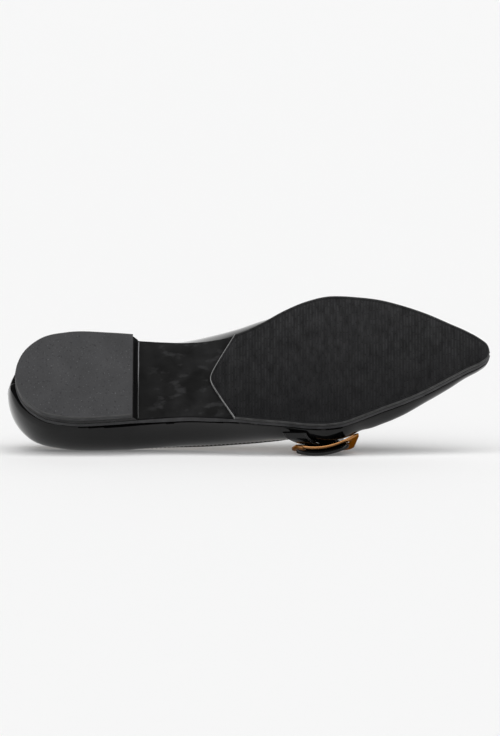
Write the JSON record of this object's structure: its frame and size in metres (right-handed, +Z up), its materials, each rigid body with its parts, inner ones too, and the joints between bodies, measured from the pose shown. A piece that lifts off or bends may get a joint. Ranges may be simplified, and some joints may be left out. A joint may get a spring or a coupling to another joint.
{
  "type": "womens pointed toe shoe",
  "caption": "Left pointed-toe flat lying on its outer side: hollow patent upper, ribbed half-sole on a smooth sole, low heel, and an instep strap in a gold frame buckle.",
  "frame": {"origin": "centre of the bottom of the box, on the floor that the shoe lies on", "axes": "+X from heel to toe, +Y from the sole side to the collar side, +Z up from the outer side to the inner side; the sole leans back 26 degrees from upright and faces -Y"},
  "size_m": [0.2566, 0.0706, 0.0834],
  "materials": {
    "heel_lift": "matte",
    "heel_block": "satin",
    "outsole": "satin",
    "forepart_tread": "matte",
    "upper": "gloss",
    "insole": "matte",
    "instep_strap": "gloss",
    "strap_tab": "gloss",
    "buckle_frame": "polished"
  },
  "bodies": {
    "root": {"heel_lift": "heel_lift", "heel_block": "heel_block", "outsole": "outsole", "forepart_tread": "forepart_tread", "upper": "upper", "insole": "insole", "instep_strap": "instep_strap", "strap_tab": "strap_tab", "buckle_frame": "buckle_frame"}
  },
  "joints": []
}
